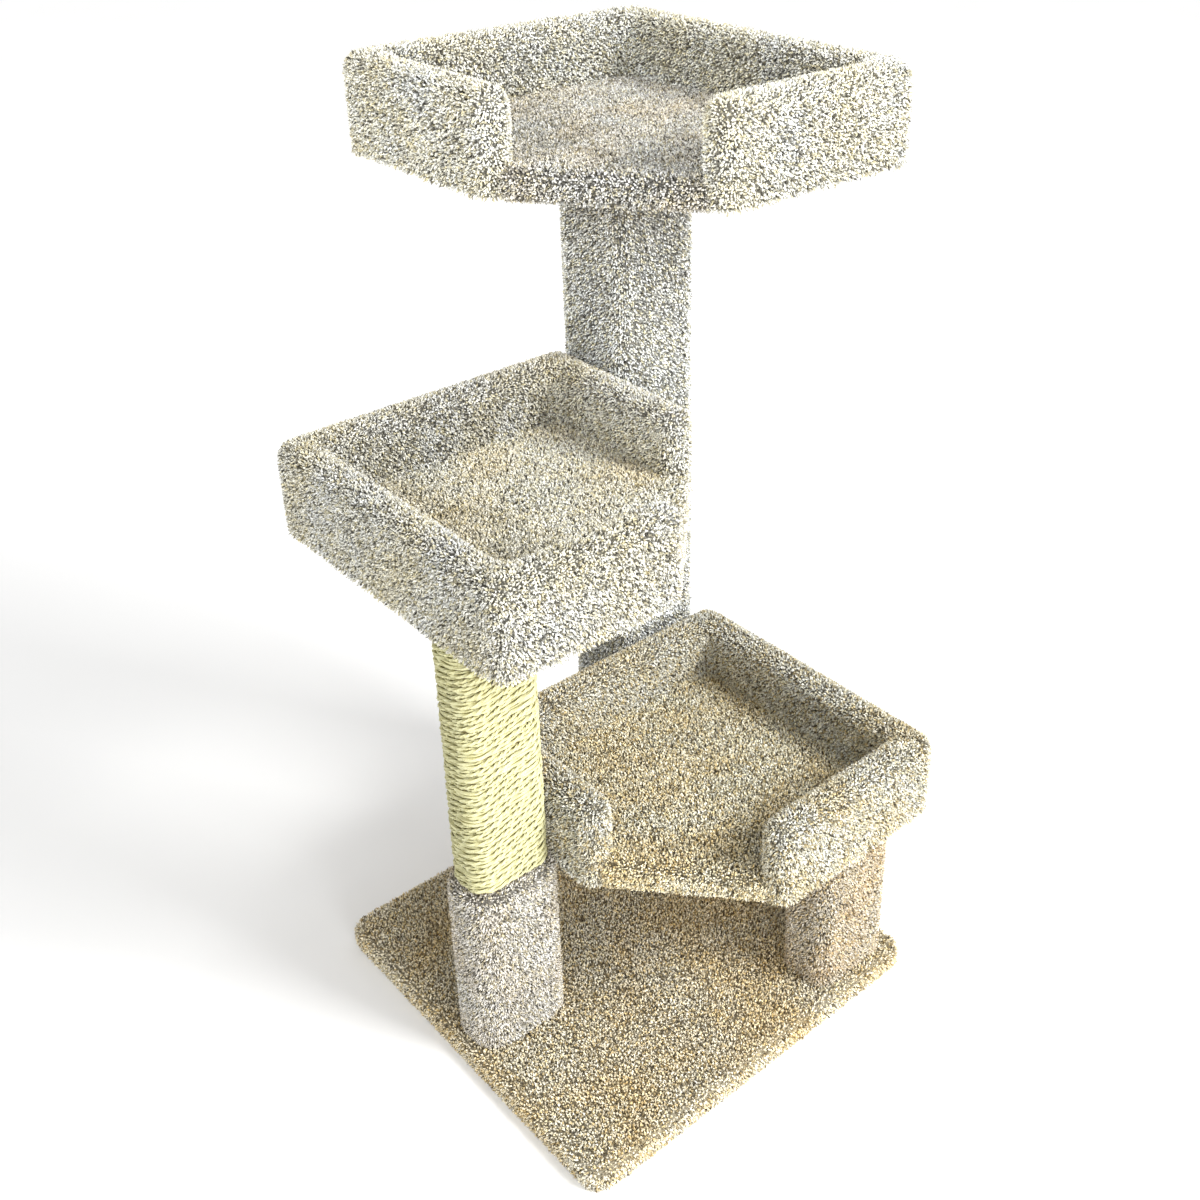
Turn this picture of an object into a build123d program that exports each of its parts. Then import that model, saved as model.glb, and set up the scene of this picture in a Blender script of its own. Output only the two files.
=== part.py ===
from build123d import *
import math
import os

# Cat tree, millimetres, +Z up. The floor plan is laid out from the base's front corner,
# X along its right edge and Y along its left edge, and shifted to the middle of the whole
# tree at the end. Nothing moves.

# driving dimensions: base and materials
base_size = 610.0
base_board_thickness = 19.0
base_carpet_thickness = 13.0
hem_thickness = 3.0
hem_width = 40.0
base_corner_radius = 14.0
base_edge_radius = 9.0
board_corner_radius = 6.0
carpet_thickness = 18.0
board_thickness = 19.0
wall_board_height = 89.0

# driving dimensions: posts (timber core sizes, insets of the covered post from the base edges)
post_core_x = 108.0
post_core_y = 57.0
tall_core_x = 116.0
tall_core_y = 110.0
core_corner_radius = 10.0
front_corner_radius = 20.0
boot_thickness = 22.0
front_inset = 17.0
front_middle = 298.0
short_inset_x = 25.0
short_inset_y = 19.0
tall_inset_x = 4.0
tall_inset_y = 2.0
boot_top_radius = 8.0

# driving dimensions: sisal winding
rope_diameter = 10.2
rope_turns = 19
rope_sides = 8

# driving dimensions: perches (outside with carpet, undersides above the floor); the lower and the
# middle one reach from their posts to a little past the base's edges
lower_overhang_x = 17.0
lower_overhang_y = 12.0
lower_height = 300.0
lower_end_x = 158.0
lower_end_y = 200.0
middle_overhang = 16.0
middle_front = 110.0
middle_back_inset = 10.0
middle_height = 750.0
middle_end_x = 188.0
middle_end_y = 188.0
top_size_x = 498.0
top_size_y = 544.0
top_height = 1186.0
top_end_x = 164.0
top_end_y = 224.0
top_forward_x = 83.0
top_forward_y = 99.0
rim_corner_radius = 28.0
rim_top_radius = 22.0
rim_bottom_radius = 7.0
pocket_corner_radius = 12.0
entrance_setback = 18.0
lip_radius = 14.0

# driving dimensions: fasteners
lag_head_diameter = 14.0
lag_head_height = 6.0
lag_diameter = 6.0
lag_length = 62.0
side_lag_length = 96.0
wood_screw_head_diameter = 9.0
wood_screw_head_height = 4.0
wood_screw_diameter = 4.0
wood_screw_length = 50.0
lag_spacing = 56.0
side_lag_spacing = 44.0

# clearances
fit_gap = 0.3
rope_end_gap = 1.0
rope_wall_gap = 1.5
boot_top_gap = 2.0

# levels and places that follow
board_base_z = hem_thickness
board_top_z = board_base_z + base_board_thickness
base_top_z = board_top_z + base_carpet_thickness
wall_thickness = board_thickness + 2 * carpet_thickness
mat_top = hem_thickness + board_thickness + carpet_thickness
perch_rise = hem_thickness + board_thickness + wall_board_height + carpet_thickness

post_x = post_core_x + 2 * carpet_thickness
post_y = post_core_y + 2 * carpet_thickness
tall_x = tall_core_x + 2 * carpet_thickness
tall_y = tall_core_y + 2 * carpet_thickness
front_at = (front_inset + post_x / 2, front_middle)
short_at = (base_size - short_inset_x - post_x / 2, short_inset_y + post_y / 2)
tall_at = (base_size - tall_inset_x - tall_x / 2, base_size - tall_inset_y - tall_y / 2)

lower_x = front_at[0] + post_core_x / 2 + fit_gap + rope_diameter + rope_wall_gap
lower_y = -lower_overhang_y
lower_size_x = base_size + lower_overhang_x - lower_x
lower_size_y = tall_at[1] - tall_y / 2 - lower_y
middle_x = -middle_overhang
middle_y = middle_front
middle_size_x = tall_at[0] - tall_x / 2 - middle_x
middle_size_y = base_size - middle_back_inset - middle_front
top_x = tall_at[0] - top_forward_x - top_size_x / 2
top_y = tall_at[1] - top_forward_y - top_size_y / 2

west = min(0.0, lower_x, middle_x, top_x)
east = max(base_size, lower_x + lower_size_x, middle_x + middle_size_x, top_x + top_size_x)
south = min(0.0, lower_y, middle_y, top_y)
north = max(base_size, lower_y + lower_size_y, middle_y + middle_size_y, top_y + top_size_y)
to_frame = Pos(-(west + east) / 2, -(south + north) / 2, 0)

os.makedirs("parts", exist_ok=True)


def save(shape, name):
    export_step(to_frame * shape, "parts/" + name + ".step")


def block(x0, x1, y0, y1, z0, z1):
    return Pos((x0 + x1) / 2, (y0 + y1) / 2, (z0 + z1) / 2) * Box(x1 - x0, y1 - y0, z1 - z0)


def column(at, size_x, size_y, radius, z0, z1):
    return Pos(at[0], at[1], z0) * extrude(RectangleRounded(size_x, size_y, radius), amount=z1 - z0)


def fastener(head_diameter, head_height, diameter, length, gap=0.0):
    # stands on its head at the origin and points up; with a gap it is the bore that takes it
    head = Pos(0, 0, -gap) * extrude(Circle(head_diameter / 2 + gap), amount=head_height + gap)
    shank = extrude(Circle(diameter / 2 + gap), amount=length + gap)
    return head + shank


def lag(gap=0.0):
    return fastener(lag_head_diameter, lag_head_height, lag_diameter, lag_length, gap)


def side_lag(gap=0.0):
    return fastener(lag_head_diameter, lag_head_height, lag_diameter, side_lag_length, gap)


def wood_screw(gap=0.0):
    return fastener(wood_screw_head_diameter, wood_screw_head_height, wood_screw_diameter,
                    wood_screw_length, gap)


def cut(shape, places, tool):
    for place in places:
        shape = shape - place * tool
    return shape


def group(places, piece):
    return Compound([(place * piece).solid() for place in places])


# base: board, carpet turned under its edge, lag screws from below into the posts
base_mid = (base_size / 2, base_size / 2)
base_board_size = base_size - 2 * base_carpet_thickness
base_board = column(base_mid, base_board_size, base_board_size, board_corner_radius,
                    board_base_z, board_top_z)

base_carpet = column(base_mid, base_size, base_size, base_corner_radius, 0, base_top_z)
base_carpet = fillet(base_carpet.faces().sort_by(Axis.Z)[-1].edges(), base_edge_radius)
base_carpet = base_carpet - base_board
hem_inner = base_board_size - 2 * hem_width
base_carpet = base_carpet - column(base_mid, hem_inner, hem_inner, board_corner_radius, 0, board_base_z)

core_sizes = {
    "front": (front_at, post_core_x, post_core_y, front_corner_radius, middle_height + hem_thickness),
    "short": (short_at, post_core_x, post_core_y, core_corner_radius, lower_height + hem_thickness),
    "tall": (tall_at, tall_core_x, tall_core_y, core_corner_radius, top_height + hem_thickness),
}
cores = {}
for post, (at, size_x, size_y, radius, top) in core_sizes.items():
    cores[post] = column(at, size_x, size_y, radius, board_top_z, top)
    base_carpet = base_carpet - column(at, size_x + 2 * fit_gap, size_y + 2 * fit_gap,
                                       radius + fit_gap, board_top_z, base_top_z)

base_lags = []
for at in (front_at, short_at, tall_at):
    for side in (-0.5, 0.5):
        base_lags.append(Pos(at[0] + side * lag_spacing, at[1], board_base_z))
base_board = cut(base_board, base_lags, lag(fit_gap))
for number, post in enumerate(("front", "short", "tall")):
    cores[post] = cut(cores[post], base_lags[2 * number:2 * number + 2], lag(fit_gap))


# posts: carpet sleeves round the cores
def sleeve(post, thickness, z1):
    at, size_x, size_y, radius, top = core_sizes[post]
    outer = column(at, size_x + 2 * thickness, size_y + 2 * thickness, radius + thickness, base_top_z, z1)
    inner = column(at, size_x + 2 * fit_gap, size_y + 2 * fit_gap, radius + fit_gap, base_top_z, z1)
    return outer - inner


boot_top = lower_height - boot_top_gap
front_boot = sleeve("front", boot_thickness, boot_top)
front_boot = fillet(front_boot.faces().sort_by(Axis.Z)[-1].outer_wire().edges(), boot_top_radius)
short_sleeve = sleeve("short", carpet_thickness, lower_height)
tall_sleeve = sleeve("tall", carpet_thickness, top_height)

# sisal: rope wound round the front core between the boot and the middle perch, level on three
# faces and climbing one pitch on the fourth, in two lengths that meet end to end
rope_space = middle_height - boot_top - 2 * rope_end_gap
rope_pitch = (rope_space - rope_diameter) / (2 * rope_turns)
rope_out = rope_diameter / 2 + fit_gap
rope_x = post_core_x / 2 + rope_out
rope_y = post_core_y / 2 + rope_out
bend = front_corner_radius + rope_out
run_x = rope_x - bend
run_y = rope_y - bend
diagonal = bend * math.sqrt(0.5)


def turn_edges(z):
    # one turn, seen from above against the clock, from the middle of the +X face
    up = z + rope_pitch
    mid = (z + up) / 2
    lift_radius = ((2 * run_x) ** 2 + rope_pitch ** 2) / (4 * rope_pitch)
    half_angle = math.asin(run_x / lift_radius) / 2
    lift_x = lift_radius * math.sin(half_angle)
    lift_z = lift_radius * (1 - math.cos(half_angle))
    return [
        Edge.make_line((rope_x, 0, z), (rope_x, run_y, z)),
        Edge.make_three_point_arc((rope_x, run_y, z),
                                  (run_x + diagonal, run_y + diagonal, z), (run_x, rope_y, z)),
        Edge.make_three_point_arc((run_x, rope_y, z),
                                  (run_x - lift_x, rope_y, z + lift_z), (0, rope_y, mid)),
        Edge.make_three_point_arc((0, rope_y, mid),
                                  (lift_x - run_x, rope_y, up - lift_z), (-run_x, rope_y, up)),
        Edge.make_three_point_arc((-run_x, rope_y, up),
                                  (-run_x - diagonal, run_y + diagonal, up), (-rope_x, run_y, up)),
        Edge.make_line((-rope_x, run_y, up), (-rope_x, -run_y, up)),
        Edge.make_three_point_arc((-rope_x, -run_y, up),
                                  (-run_x - diagonal, -run_y - diagonal, up), (-run_x, -rope_y, up)),
        Edge.make_line((-run_x, -rope_y, up), (run_x, -rope_y, up)),
        Edge.make_three_point_arc((run_x, -rope_y, up),
                                  (run_x + diagonal, -run_y - diagonal, up), (rope_x, -run_y, up)),
        Edge.make_line((rope_x, -run_y, up), (rope_x, 0, up)),
    ]


def winding(z0):
    edges = []
    for turn in range(rope_turns):
        edges += turn_edges(z0 + turn * rope_pitch)
    path = Wire(edges)
    section = Plane(origin=(rope_x, 0, z0), x_dir=(1, 0, 0), z_dir=(0, 1, 0)) * RegularPolygon(
        rope_diameter / 2, rope_sides, rotation=180 / rope_sides)
    return Pos(front_at[0], front_at[1], 0) * sweep(section, path=path), path


def least_gap():
    # neighbouring turns, point against point, less the rope's thickness
    steps = 12
    points = []
    for turn in range(3):
        for edge in turn_edges(turn * rope_pitch):
            points += [edge @ (step / steps) for step in range(steps)]
    one_turn = len(points) // 3
    least = min((points[i] - points[j]).length
                for i in range(one_turn) for j in range(i + one_turn // 2, len(points)))
    return least - rope_diameter


lower_rope_z = boot_top + rope_end_gap + rope_diameter / 2
upper_rope_z = lower_rope_z + rope_turns * rope_pitch
sisal_lower, rope_path = winding(lower_rope_z)
sisal_upper, rope_path = winding(upper_rope_z)
print("rope pitch", round(rope_pitch, 2), "length of each half", round(rope_path.length, 1),
      "least gap to itself", round(least_gap(), 2))


# plan of a perch's padded wall: a square C with round corners and half-round ends at the entrance
def rim_plan(size_x, size_y, open_x, open_y):
    wall = wall_thickness
    half = wall / 2
    radius = rim_corner_radius
    inner = pocket_corner_radius
    in_x = size_x - wall
    in_y = size_y - wall
    slope = math.sqrt(0.5)

    def corner(x, y, reach, from_x, from_y):
        # quarter arc about (x, y) from the side named by from_x, from_y, against or with the clock
        start = (x + reach * from_x[0], y + reach * from_x[1])
        end = (x + reach * from_y[0], y + reach * from_y[1])
        mid = (x + reach * slope * (from_x[0] + from_y[0]), y + reach * slope * (from_x[1] + from_y[1]))
        return ThreePointArc(start, mid, end)

    right, left, up, down = (1, 0), (-1, 0), (0, 1), (0, -1)
    arcs = [
        corner(size_x - radius, radius, radius, down, right),
        corner(size_x - radius, size_y - radius, radius, right, up),
        corner(radius, size_y - radius, radius, up, left),
        corner(half, open_y, half, left, down),
        corner(half, open_y, half, down, right),
        corner(wall + inner, in_y - inner, inner, left, up),
        corner(in_x - inner, in_y - inner, inner, up, right),
        corner(in_x - inner, wall + inner, inner, right, down),
        corner(open_x, half, half, up, left),
        corner(open_x, half, half, left, down),
    ]
    outline = []
    for number, arc in enumerate(arcs):
        outline.append(arc)
        after = arcs[(number + 1) % len(arcs)]
        if ((arc @ 1) - (after @ 0)).length > fit_gap:
            outline.append(Line(arc @ 1, after @ 0))
    return make_face(outline)


# perches: built with the open corner at the local origin, then turned and placed
def perch(name, place, size_x, size_y, end_x, end_y, post, side_places):
    half = wall_thickness / 2
    open_x = end_x + half
    open_y = end_y + half
    plan = rim_plan(size_x, size_y, open_x, open_y)

    lip_x = end_x + entrance_setback
    lip_y = end_y + entrance_setback
    slant = math.hypot(lip_x, lip_y)
    back_x = carpet_thickness * slant / lip_y
    back_y = carpet_thickness * slant / lip_x
    board_x = lip_x + back_x - carpet_thickness * lip_x / lip_y
    board_y = lip_y + back_y - carpet_thickness * lip_y / lip_x
    edge = carpet_thickness
    floor_plan = make_face(Polyline((board_x, edge), (size_x - edge, edge), (size_x - edge, size_y - edge),
                                    (edge, size_y - edge), (edge, board_y), close=True))
    floor = Pos(0, 0, hem_thickness) * extrude(floor_plan, amount=board_thickness)

    wall_z = hem_thickness + board_thickness
    wall_top = wall_z + wall_board_height
    inside = edge + board_thickness
    walls = {
        "front": block(end_x + edge, size_x - edge, edge, inside, wall_z, wall_top),
        "side": block(edge, inside, end_y + edge, size_y - inside, wall_z, wall_top),
        "back": block(edge, size_x - edge, size_y - inside, size_y - edge, wall_z, wall_top),
        "far": block(size_x - inside, size_x - edge, inside, size_y - inside, wall_z, wall_top),
    }

    rim = extrude(plan, amount=perch_rise)
    rim = fillet(rim.faces().sort_by(Axis.Z)[-1].edges(), rim_top_radius)
    rim = fillet(rim.faces().sort_by(Axis.Z)[0].edges(), rim_bottom_radius)
    rim = rim - floor
    for wall in walls.values():
        rim = rim - wall
    clear_x = size_x - 2 * hem_width
    clear_y = size_y - 2 * hem_width
    rim = rim - Pos(size_x / 2, size_y / 2, hem_thickness / 2) * Box(clear_x, clear_y, hem_thickness)

    mat_plan = make_face(Polyline((lip_x * (1 - half / lip_y), half), (size_x - half, half),
                                  (size_x - half, size_y - half), (half, size_y - half),
                                  (half, lip_y * (1 - half / lip_x)), close=True))
    mat = extrude(mat_plan, amount=mat_top)
    lip_edges = mat.edges().filter_by(
        lambda e: abs(e.tangent_at(0.5).X) > 0.1 and abs(e.tangent_at(0.5).Y) > 0.1)
    mat = fillet(lip_edges.sort_by(Axis.Z)[-1:], lip_radius)
    mat = mat - extrude(offset(plan, fit_gap), amount=perch_rise)
    mat = mat - floor
    under = make_face(Polyline((lip_x + hem_width, 0), (size_x, 0), (size_x, size_y),
                               (0, size_y), (0, lip_y + hem_width), close=True))
    mat = mat - extrude(under, amount=hem_thickness)

    floor = place * floor
    rim = place * rim
    mat = place * mat
    walls = {key: place * wall for key, wall in walls.items()}

    thick = edge + board_thickness / 2
    spots = {
        "front": [(end_x + edge + (size_x - end_x - 2 * edge) * f, thick) for f in (0.18, 0.82)],
        "side": [(thick, end_y + edge + (size_y - end_y - 2 * edge) * f) for f in (0.18, 0.76)],
        "back": [(edge + (size_x - 2 * edge) * f, size_y - thick) for f in (0.22, 0.78)],
        "far": [(size_x - thick, edge + (size_y - 2 * edge) * f) for f in (0.2, 0.76)],
    }
    wall_places = []
    for key, points in spots.items():
        places = [Pos((place * Pos(x, y, hem_thickness)).position) for x, y in points]
        walls[key] = cut(walls[key], places, wood_screw(fit_gap))
        wall_places += places
    floor = cut(floor, wall_places, wood_screw(fit_gap))

    post_at = core_sizes[post][0]
    lag_top = place.position.Z + hem_thickness + board_thickness
    lag_places = [Pos(post_at[0] + side * lag_spacing, post_at[1], lag_top) * Rot(180, 0, 0)
                  for side in (-0.5, 0.5)]
    floor = cut(floor, lag_places, lag(fit_gap))
    cores[post] = cut(cores[post], lag_places, lag(fit_gap))

    for key, places in side_places.items():
        walls[key] = cut(walls[key], places, side_lag(fit_gap))
        rim = cut(rim, places, side_lag(fit_gap))
        save(group(places, side_lag()), name + "_side_screws")

    save(floor, name + "_floor")
    save(rim, name + "_rim")
    save(mat, name + "_mat")
    for key, wall in walls.items():
        save(wall, name + "_wall_" + key)
    save(group(wall_places, wood_screw()), name + "_wall_screws")
    save(group(lag_places, lag()), name + "_post_screws")


wall_middle = hem_thickness + board_thickness + wall_board_height / 2
inside_face = carpet_thickness + board_thickness
lower_sides = [Pos(tall_at[0] + side * side_lag_spacing, lower_y + lower_size_y - inside_face,
                   lower_height + wall_middle) * Rot(-90, 0, 0) for side in (-0.5, 0.5)]
middle_sides = [Pos(middle_x + middle_size_x - inside_face, tall_at[1] - side_lag_spacing * f,
                    middle_height + wall_middle) * Rot(0, 90, 0) for f in (0.0, 0.75)]
for places in (lower_sides, middle_sides):
    tall_sleeve = cut(tall_sleeve, places, side_lag(fit_gap))
    cores["tall"] = cut(cores["tall"], places, side_lag(fit_gap))

perch("lower", Pos(lower_x, lower_y, lower_height), lower_size_x, lower_size_y,
      lower_end_x, lower_end_y, "short", {"back": lower_sides})
perch("middle", Pos(middle_x + middle_size_x, middle_y, middle_height) * Rot(0, 0, 90),
      middle_size_y, middle_size_x, middle_end_y, middle_end_x, "front", {"front": middle_sides})
perch("top", Pos(top_x, top_y, top_height), top_size_x, top_size_y, top_end_x, top_end_y, "tall", {})

save(base_board, "base_board")
save(base_carpet, "base_carpet")
save(group(base_lags, lag()), "base_screws")
for post, core in cores.items():
    save(core, post + "_core")
save(front_boot, "front_boot")
save(short_sleeve, "short_sleeve")
save(tall_sleeve, "tall_sleeve")
save(sisal_lower, "sisal_lower")
save(sisal_upper, "sisal_upper")
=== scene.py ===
import math
import bpy
import bmesh
import numpy as np
from mathutils import Matrix, Vector


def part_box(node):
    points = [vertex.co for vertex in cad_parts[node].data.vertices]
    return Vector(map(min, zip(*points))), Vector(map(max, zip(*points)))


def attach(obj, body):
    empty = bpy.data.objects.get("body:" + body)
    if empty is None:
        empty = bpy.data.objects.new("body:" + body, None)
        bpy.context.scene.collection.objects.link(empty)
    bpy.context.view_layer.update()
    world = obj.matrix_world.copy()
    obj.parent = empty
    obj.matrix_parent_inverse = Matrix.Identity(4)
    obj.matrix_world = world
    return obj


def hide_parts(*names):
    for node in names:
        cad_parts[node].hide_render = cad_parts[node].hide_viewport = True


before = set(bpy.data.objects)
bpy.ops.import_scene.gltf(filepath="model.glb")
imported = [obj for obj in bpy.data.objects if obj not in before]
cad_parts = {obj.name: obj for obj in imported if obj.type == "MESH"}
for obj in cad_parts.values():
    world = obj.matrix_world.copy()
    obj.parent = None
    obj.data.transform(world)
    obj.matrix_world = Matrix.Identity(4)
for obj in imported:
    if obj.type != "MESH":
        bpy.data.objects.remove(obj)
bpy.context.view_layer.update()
print("frame loaded,", len(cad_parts), "nodes")


# lengths and levels closer than this count as the same, and edges that rise more than this as upright
hair = 1e-4
uprightRise = 0.01
# how squarely a face has to look one way, as the share of its normal along that way
squarely = 0.9
mostly = 0.7


def deselectAll():
    if bpy.context.object and bpy.context.object.mode != "OBJECT":
        bpy.ops.object.mode_set(mode="OBJECT")
    bpy.ops.object.select_all(action="DESELECT")


def pickOnly(piece):
    deselectAll()
    piece.select_set(True)
    bpy.context.view_layer.objects.active = piece


def openEdit(piece, mode="FACE"):
    pickOnly(piece)
    bpy.ops.object.mode_set(mode="EDIT")
    bpy.ops.mesh.select_mode(type=mode)


def closeEdit():
    bpy.ops.object.mode_set(mode="OBJECT")


def chooseFaces(piece, test):
    bpy.ops.mesh.select_mode(type="FACE")
    bpy.ops.mesh.select_all(action="DESELECT")
    shape = bmesh.from_edit_mesh(piece.data)
    for face in shape.faces:
        face.select_set(test(face.calc_center_median(), face.normal))
    bmesh.update_edit_mesh(piece.data)


def chooseEdges(piece, test):
    bpy.ops.mesh.select_mode(type="EDGE")
    bpy.ops.mesh.select_all(action="DESELECT")
    shape = bmesh.from_edit_mesh(piece.data)
    for edge in shape.edges:
        edge.select_set(test(edge.verts[0].co, edge.verts[1].co))
    bmesh.update_edit_mesh(piece.data)


def isUpright(a, b):
    return abs(a.z - b.z) > uprightRise


def isAtTop(a, b, level):
    return min(a.z, b.z) > level - hair


def looksDown(normal):
    return normal.z < -squarely


def pushFaces(move):
    bpy.ops.mesh.extrude_region_move(TRANSFORM_OT_translate={"value": move})


def outwardNormals():
    bpy.ops.mesh.select_all(action="SELECT")
    bpy.ops.mesh.normals_make_consistent(inside=False)


def applyAll(piece):
    pickOnly(piece)
    for modifier in list(piece.modifiers):
        bpy.ops.object.modifier_apply(modifier=modifier.name)


def blockFromBox(name, low, high):
    # a cube primitive at its size and place, with the place in its mesh
    deselectAll()
    bpy.ops.mesh.primitive_cube_add(size=1, location=(low + high) / 2, scale=high - low)
    bpy.ops.object.transform_apply(location=True, rotation=True, scale=True)
    piece = bpy.context.object
    piece.name = name
    return piece


def blockFromOutline(name, outline, low, high):
    # a filled circle primitive whose points are moved to the outline, then extruded
    deselectAll()
    bpy.ops.mesh.primitive_circle_add(vertices=len(outline), radius=0.1, fill_type="NGON")
    piece = bpy.context.object
    piece.name = name
    for point, (x, y) in zip(piece.data.vertices, outline):
        point.co = (x, y, low)
    openEdit(piece)
    bpy.ops.mesh.select_all(action="SELECT")
    pushFaces((0, 0, high - low))
    outwardNormals()
    closeEdit()
    return piece


def newMaterial(name):
    material = bpy.data.materials.new(name)
    material.use_nodes = True
    nodes = material.node_tree.nodes
    shader = nodes["Principled BSDF"]
    return material, nodes, material.node_tree.links, shader


def rampNode(nodes, links, source, stops):
    # stops are pairs of place and colour
    ramp = nodes.new("ShaderNodeValToRGB")
    while len(ramp.color_ramp.elements) < len(stops):
        ramp.color_ramp.elements.new(0.5)
    for element, (place, colour) in zip(ramp.color_ramp.elements, stops):
        element.position = place
        element.color = (*colour, 1)
    links.new(source, ramp.inputs["Fac"])
    return ramp.outputs["Color"]


def noiseNode(nodes, links, scale, detail=3.0, stretch=None):
    place = nodes.new("ShaderNodeTexCoord").outputs["Object"]
    if stretch:
        mapping = nodes.new("ShaderNodeMapping")
        mapping.inputs["Scale"].default_value = stretch
        links.new(place, mapping.inputs["Vector"])
        place = mapping.outputs["Vector"]
    noise = nodes.new("ShaderNodeTexNoise")
    noise.inputs["Scale"].default_value = scale
    noise.inputs["Detail"].default_value = detail
    links.new(place, noise.inputs["Vector"])
    return noise.outputs["Fac"]


def mixNode(nodes, links, kind, amount, first, second):
    # amount is a number or a socket, first and second are colours or sockets
    mix = nodes.new("ShaderNodeMix")
    mix.data_type = "RGBA"
    mix.blend_type = kind
    if isinstance(amount, float):
        mix.inputs[0].default_value = amount
    else:
        links.new(amount, mix.inputs[0])
    for socket, value in ((mix.inputs[6], first), (mix.inputs[7], second)):
        if isinstance(value, tuple):
            socket.default_value = (*value, 1)
        else:
            links.new(value, socket)
    return mix.outputs[2]


def attributeNode(nodes, name):
    attribute = nodes.new("ShaderNodeAttribute")
    attribute.attribute_name = name
    return attribute.outputs["Fac"]


def bumpNode(nodes, links, shader, height, strength, distance):
    bump = nodes.new("ShaderNodeBump")
    bump.inputs["Strength"].default_value = strength
    bump.inputs["Distance"].default_value = distance
    links.new(height, bump.inputs["Height"])
    links.new(bump.outputs["Normal"], shader.inputs["Normal"])


# the camera stands at the photograph's angle
cameraSet = {
    "place": (-1.0608, -1.3030, 1.6777),
    "yaw": 48.395,           # degrees from +X towards +Y
    "pitch": 28.306,         # degrees down
    "roll": -0.34,
    "sensor": 36,
    "lens": 43.12,
    "shift": (-0.0553, -0.0907),
    "clipEnd": 50,
}


def makeCamera():
    yaw, pitch, roll = (math.radians(cameraSet[key]) for key in ("yaw", "pitch", "roll"))
    ahead = Vector((math.cos(yaw) * math.cos(pitch), math.sin(yaw) * math.cos(pitch),
                    -math.sin(pitch)))
    right = Vector((math.sin(yaw), -math.cos(yaw), 0))
    up = right.cross(ahead)
    turned = right * math.cos(roll) + up * math.sin(roll)
    raised = up * math.cos(roll) - right * math.sin(roll)
    deselectAll()
    bpy.ops.object.camera_add()
    camera = bpy.context.object
    camera.name = "photoCamera"
    camera.matrix_world = Matrix((
        (turned.x, raised.x, -ahead.x, cameraSet["place"][0]),
        (turned.y, raised.y, -ahead.y, cameraSet["place"][1]),
        (turned.z, raised.z, -ahead.z, cameraSet["place"][2]),
        (0, 0, 0, 1)))
    camera.data.sensor_width = cameraSet["sensor"]
    camera.data.lens = cameraSet["lens"]
    camera.data.shift_x, camera.data.shift_y = cameraSet["shift"]
    camera.data.clip_end = cameraSet["clipEnd"]
    bpy.context.scene.camera = camera


makeCamera()
print("camera placed")


# carpet pile is a skin of backing with cut tufts standing on it
pileSet = {
    "height": 0.008,         # tuft length, and how far the skin lies under the carpet's face
    "gap": 0.0022,           # least distance between tufts on flat faces
    "tightGap": 0.0019,      # and on rounded edges, where the pile opens
    "mostPerArea": 520000,   # tufts per square metre, more than the gaps let through
    "width": 0.0018,         # radius at the cut end
    "slant": 0.30,           # how far the cut end slopes, share of the length
    "lengthSpread": (0.84, 1.14),
    "widthSpread": (0.8, 1.3),
    "wander": 0.24,          # how far single tufts lean
    "drift": 0.7,            # how far whole patches lean together
    "driftScale": 14.0,
    "driftDetail": 1.5,
    "droop": 0.22,           # lean down on upright faces
    "neat": 0.45,            # share of the wander and drift that is left on rounded edges
    "fine": 0.95,            # tuft thickness
    "least": 0.01,           # faces with shorter tufts stay bare
    "flatter": 0.995,        # a face whose normal is nearer to an axis than this is flat
    "smoothAngle": 50,       # degrees
    "bentShift": 500,        # between the seeds of flat faces and rounded edges
    "skinShare": 0.1,        # strip of the map kept for the skin
    # the skin's rise puts it deep in the painted shade at the roots, so it shows dark between the
    # tufts
    "skinMarks": {"tone": 0.45, "rise": 0.14},
    "sameSpot": 1e-5,
    "cutRing": 0.26,         # where the cut end and the root lie in a tuft's cell of the map
    "rootRing": 0.47,
}


def makeTuft():
    # three-sided, from a thin root to a slanting cut end; modelled once and scattered
    reach = pileSet["height"]
    deselectAll()
    bpy.ops.mesh.primitive_cone_add(vertices=3, radius1=0, radius2=pileSet["width"], depth=reach,
                                    end_fill_type="NGON", location=(0, 0, reach / 2))
    bpy.ops.object.transform_apply(location=True, rotation=True, scale=True)
    tuft = bpy.context.object
    tuft.name = "tuftShape"
    openEdit(tuft, "EDGE")
    highest = max(v.co.y for v in bmesh.from_edit_mesh(tuft.data).verts)
    chooseEdges(tuft, lambda a, b: min(a.z, b.z) > reach / 2
                and max(a.y, b.y) < highest - pileSet["sameSpot"])
    bpy.ops.transform.translate(value=(0, 0, -pileSet["slant"] * reach))
    outwardNormals()
    closeEdit()
    return tuft


tuftShape = makeTuft()


def tuftMap():
    # where a tuft's corners lie in its own cell of the map: the cut end in the middle,
    # the sides round it
    tuft, level = tuftShape.data, pileSet["sameSpot"]
    spots = []
    for face in tuft.polygons:
        corners = [tuft.vertices[i].co for i in face.vertices]
        ring = [Vector((c.x, c.y)).normalized() for c in corners if c.z > level]
        for c in corners:
            if c.z < level:
                spot = (ring[0] + ring[1]).normalized() * pileSet["rootRing"]
            else:
                spot = Vector((c.x, c.y)).normalized() * pileSet["cutRing"]
            spots.append((0.5 + spot.x, 0.5 + spot.y))
    return np.array(spots)


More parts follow.
